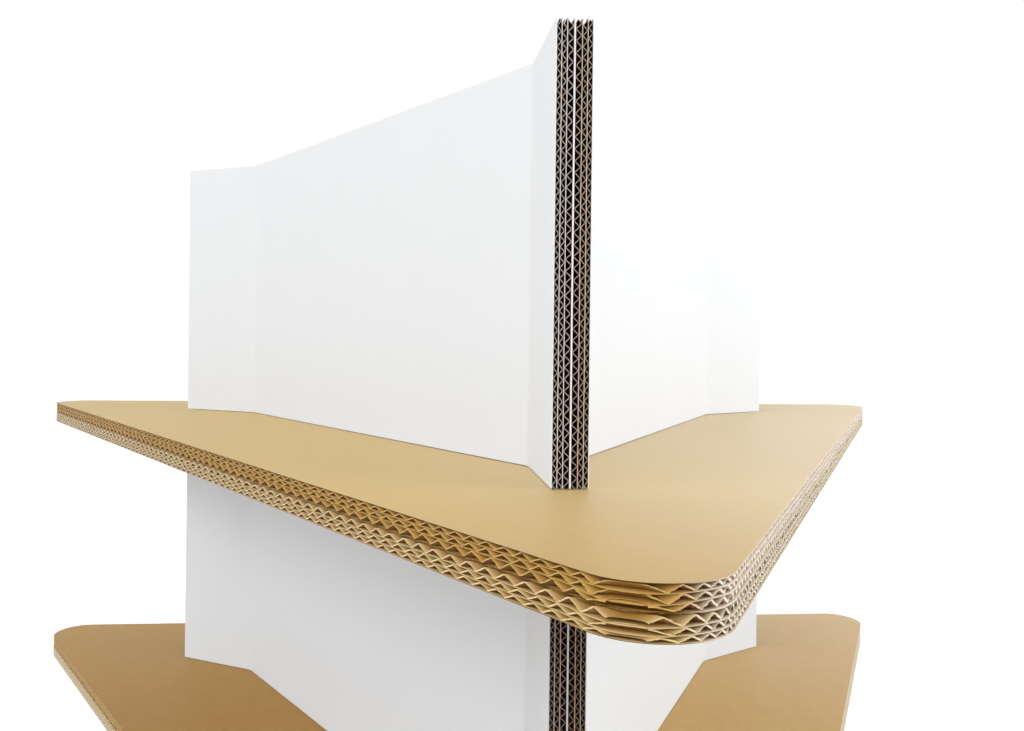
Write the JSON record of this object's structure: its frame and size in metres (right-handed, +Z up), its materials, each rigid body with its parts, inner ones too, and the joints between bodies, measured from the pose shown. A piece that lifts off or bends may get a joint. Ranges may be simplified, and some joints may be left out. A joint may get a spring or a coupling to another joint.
{
  "type": "cardboard display stand",
  "caption": "Free-standing three-sided display stand of heavy corrugated board: rounded triangular shelves on folded risers with fins at the corners.",
  "frame": {"origin": "on the floor, under the stand's three-fold axis", "axes": "+Z up; one corner of the shelves points to -Y, the flat back side faces +Y; X runs along the back side"},
  "size_m": [1.3488, 1.18, 0.76],
  "materials": {
    "kraft_board": "matte",
    "white_faced_board": "matte"
  },
  "bodies": {
    "root": {"base_shelf_lower_board": "kraft_board", "base_shelf_upper_board": "kraft_board", "upper_shelf_lower_board": "kraft_board", "upper_shelf_upper_board": "kraft_board", "lower_riser_left_panel": "white_faced_board", "lower_riser_right_panel": "white_faced_board", "lower_riser_back_panel": "white_faced_board", "upper_riser_left_panel": "white_faced_board", "upper_riser_right_panel": "white_faced_board", "upper_riser_back_panel": "white_faced_board"}
  },
  "joints": []
}
